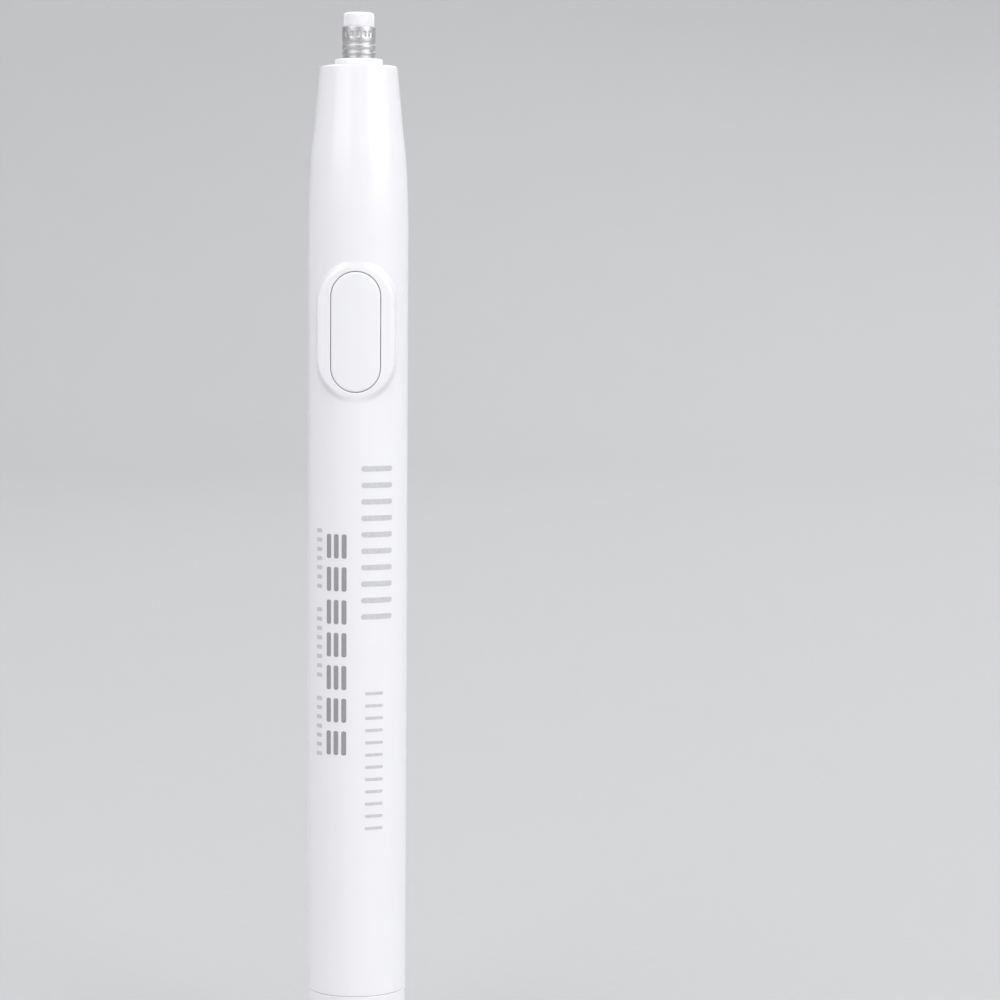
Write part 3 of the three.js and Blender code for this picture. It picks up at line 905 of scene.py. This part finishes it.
def cap_spring():
    """Conical coil: a flat part of a turn at each end and about three and a half working turns."""
    wire = 0.3
    low, high = SPRING_LOW.z + wire, SPRING_HIGH.z - wire
    wide, narrow = 4.05, 2.4
    steps, turns, flat_turns = 420, 5.0, 0.8
    points = []
    for k in range(steps + 1):
        turn = turns * k / steps
        t = max(0.0, min(1.0, (turn - flat_turns) / (turns - 2 * flat_turns)))
        r = wide + (narrow - wide) * t
        a = 2 * math.pi * turn
        points.append((r * math.cos(a), r * math.sin(a), low + (high - low) * t))
    return mesh_object("cap_spring_coil", *tube(points, wire * 0.95, 14))


# ------------------------------------------------------------------ printed marks

def printed_patch(centre_deg, width, low, high, corner):
    """A thin round-cornered patch of ink on the barrel; its side walls are sunk into the moulding."""
    lift, sunk = 0.015, -0.03
    half_w, half_h, mid = width / 2, (high - low) / 2, (low + high) / 2
    corner = min(corner, half_w, half_h * 0.9)
    inner = half_w - corner
    ends = [inner + corner * math.sin(math.pi / 2 * k / 6) for k in range(1, 7)]
    columns = [-u for u in reversed(ends)] + spread(-inner, inner, 0.4) + ends

    def place(u, v, out):
        z = mid + v
        base = SEAM_R + (BARREL_R - SEAM_R) * min(1.0, (z - SEAM_Z) / (TAPER_END - SEAM_Z))
        return around(base + out, math.radians(centre_deg) + u / BARREL_R, z)

    vertices = []
    for u in columns:
        past = max(0.0, abs(u) - inner)
        v = half_h - corner + math.sqrt(max(0.0, corner ** 2 - past ** 2))
        vertices += [place(u, -v, lift), place(u, v, lift), place(u, v, sunk), place(u, -v, sunk)]
    faces = [[0, 1, 2, 3]]
    for i in range(len(columns) - 1):
        a, b = 4 * i, 4 * i + 4
        faces += [[a + k, a + (k + 1) % 4, b + (k + 1) % 4, b + k] for k in range(4)]
    last = 4 * (len(columns) - 1)
    faces.append([last + 3, last + 2, last + 1, last])
    return vertices, faces


def marks_up(angles, size, corner, low, high, step):
    """Patches of that (width, height) up the barrel from low to high, one at each angle in every row."""
    width, height = size
    rows = spread(low, high, step)
    return [printed_patch(angle, width, z, z + height, corner) for z in rows for angle in angles]


def printed_marks():
    """Plain bars and dashes where such a pen carries its print; no lettering."""
    light = marks_up([26.5], (5.3, 0.85), 0.4, 73.3, 96.4, 2.7)
    light += marks_up([23], (3.0, 0.5), 0.25, 40.1, 61.4, 1.9)
    for first, last in ((51.6, 60.3), (64, 74.3), (78, 86.7)):
        light += marks_up([-46], (1.3, 0.65), 0.3, first, last, 1.5)
    dark = marks_up([-31.5, -22, -12.5], (0.8, 3.8), 0.3, 51.9, 82.8, 5.15)
    for name, patches, look in (("print_light", light, INK_LIGHT), ("print_dark", dark, INK_DARK)):
        piece(mesh_object(name, *merged(*patches)), "barrel", "barrel_white", material=look)


# ------------------------------------------------------------------ assembly

def build_object():
    piece(barrel_shell(), "barrel", "barrel_white", "barrel_shell")
    piece(rear_cap(), "cap", "barrel_white", "rear_cap")
    piece(push_button(), "button", "button_white", "button")
    piece(chuck(), "rotor", "acetal_white", "spindle_hub")
    piece(metal_ferrule(), "rotor", "nickel", "ferrule", material=MATERIALS["pressed_nickel"])
    piece(refill(), "refill", "eraser_rubber", "eraser_refill")
    piece(front_bush(), "barrel", "bronze", "front_bush")
    piece(cap_spring(), "cap", "spring_steel", "cap_spring")
    for name, node in (("cell_lower", "battery_rear"), ("cell_upper", "battery_front")):
        low, high = node_box(node)
        cell = piece(battery(name, node), "barrel", "cell_wrap", node)
        bare_ends(cell, MATERIALS["nickel"], (low.z + 0.5, high.z - 1.4))
    printed_marks()
    slots = {row["node"]: row["material_slot"] for row in frame["record"]["subparts"]}
    for name, node in frame["nodes"].items():
        node.data.materials.clear()
        node.data.materials.append(MATERIALS[slots[name]])


# ------------------------------------------------------------------ stage, light and camera

def stage():
    """A pale floor that sweeps up into a round wall, well outside every view's camera."""
    flat, sweep, wall = 1400, 900, 2600
    profile = rounded([(0, 0), (flat + sweep, 0, sweep), (flat + sweep, wall)], steps=24)
    columns = 96
    vertices = [around(r, 2 * math.pi * j / columns, z) for r, z in profile for j in range(columns)]
    faces = []
    for low in range(0, (len(profile) - 1) * columns, columns):
        high = low + columns
        for j in range(columns):
            k = (j + 1) % columns
            faces.append([low + j, low + k, high + k, high + j])
    floor = mesh_object("stage_floor", vertices, faces, 180)
    floor.data.materials.append(stage_surface())


def area_light(name, place, aim, size, power, colour=(1, 1, 1)):
    """A rectangular light at place, in metres, turned to face aim."""
    data = bpy.data.lights.new(name, "AREA")
    data.shape = "RECTANGLE"
    data.size, data.size_y = size
    data.energy = power
    data.color = colour
    lamp = bpy.data.objects.new(name, data)
    lamp.location = place
    lamp.rotation_euler = (Vector(aim) - Vector(place)).to_track_quat("-Z", "Y").to_euler()
    bpy.context.scene.collection.objects.link(lamp)


def lights():
    """A large soft key from the right, a fill from the left, top and back lights, a pale surround."""
    middle = (0, 0, 0.09)
    area_light("key_light", (1.6, -0.95, 0.95), middle, (1.9, 1.2), 23.0)
    area_light("fill_light", (-1.2, -1.35, 1.0), middle, (1.6, 1.2), 13.0, (0.98, 0.97, 1.0))
    area_light("top_light", (0.0, -0.3, 2.1), middle, (1.6, 1.6), 8.0)
    area_light("back_light", (0.5, 1.7, 1.1), middle, (1.2, 0.8), 8.0)
    world = bpy.data.worlds.new("studio")
    world.use_nodes = True
    backdrop = world.node_tree.nodes["Background"]
    backdrop.inputs["Color"].default_value = (0.985, 0.98, 1.0, 1)
    backdrop.inputs["Strength"].default_value = 1.7
    bpy.context.scene.world = world


def camera():
    """At the height of the button's upper end, tilted a little down; the pen stands left of centre."""
    distance, aside, height = 455.6 * MM, 22.25 * MM, 127.3 * MM
    tilt_deg, roll_deg = 4.49, -0.38
    data = bpy.data.cameras.new("camera")
    data.sensor_width = 36.0
    data.lens = 104.2
    data.clip_start = 0.01
    data.clip_end = 20
    eye = bpy.data.objects.new("camera", data)
    roll = Matrix.Rotation(math.radians(roll_deg), 4, "Y")
    pitch = Matrix.Rotation(math.radians(90 - tilt_deg), 4, "X")
    eye.matrix_world = Matrix.Translation((aside, -distance, height)) @ roll @ pitch
    bpy.context.scene.collection.objects.link(eye)
    bpy.context.scene.camera = eye


camera()
build_object()
stage()
lights()
bpy.context.scene.view_settings.view_transform = "Standard"

bpy.context.view_layer.update()
